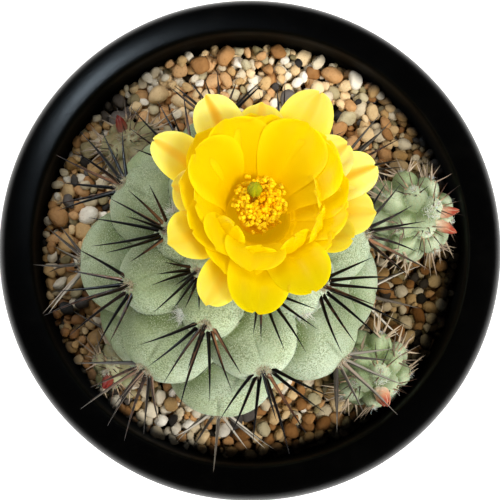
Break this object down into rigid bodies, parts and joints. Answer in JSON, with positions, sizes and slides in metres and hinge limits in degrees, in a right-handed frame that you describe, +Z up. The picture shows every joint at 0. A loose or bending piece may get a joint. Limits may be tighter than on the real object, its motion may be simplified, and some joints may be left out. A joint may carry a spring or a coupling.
{
  "type": "potted ortegocactus macdougallii",
  "caption": "Small globular cactus with overlapping tubercles, dark spines, offsets and an open yellow flower, in a round black rolled-rim pot of gritty potting mix.",
  "frame": {"origin": "centre of the pot's foot, on the surface it stands on", "axes": "+Z up; -Y towards the person looking down at the plant; +X to their right"},
  "size_m": [0.07, 0.07, 0.1018],
  "materials": {
    "pot_plastic": "black moulded plastic, satin to gloss",
    "gritty_mix": "loose tan, cream, grey and dark grains",
    "stem_skin": "grey-green bloomed skin, matte and finely speckled",
    "bud_red": "soft waxy red",
    "flower_tube_green": "waxy yellow-green",
    "petal_yellow": "silky bright yellow petal",
    "anther_orange": "powdery orange-yellow",
    "stigma_green": "velvety green"
  },
  "bodies": {
    "root": {"pot": "pot_plastic", "potting_mix": "gritty_mix", "stem_main": "stem_skin", "offset_right": "stem_skin", "offset_front_right": "stem_skin", "offset_back_left": "stem_skin", "offset_front_left": "stem_skin", "bud_right_upper": "bud_red", "bud_right_lower": "bud_red", "bud_front_right": "bud_red", "bud_back_left": "bud_red", "bud_front_left": "bud_red", "flower_tube": "flower_tube_green", "flower_petals": "petal_yellow", "flower_stamens": "anther_orange", "flower_pistil": "stigma_green"}
  },
  "joints": []
}
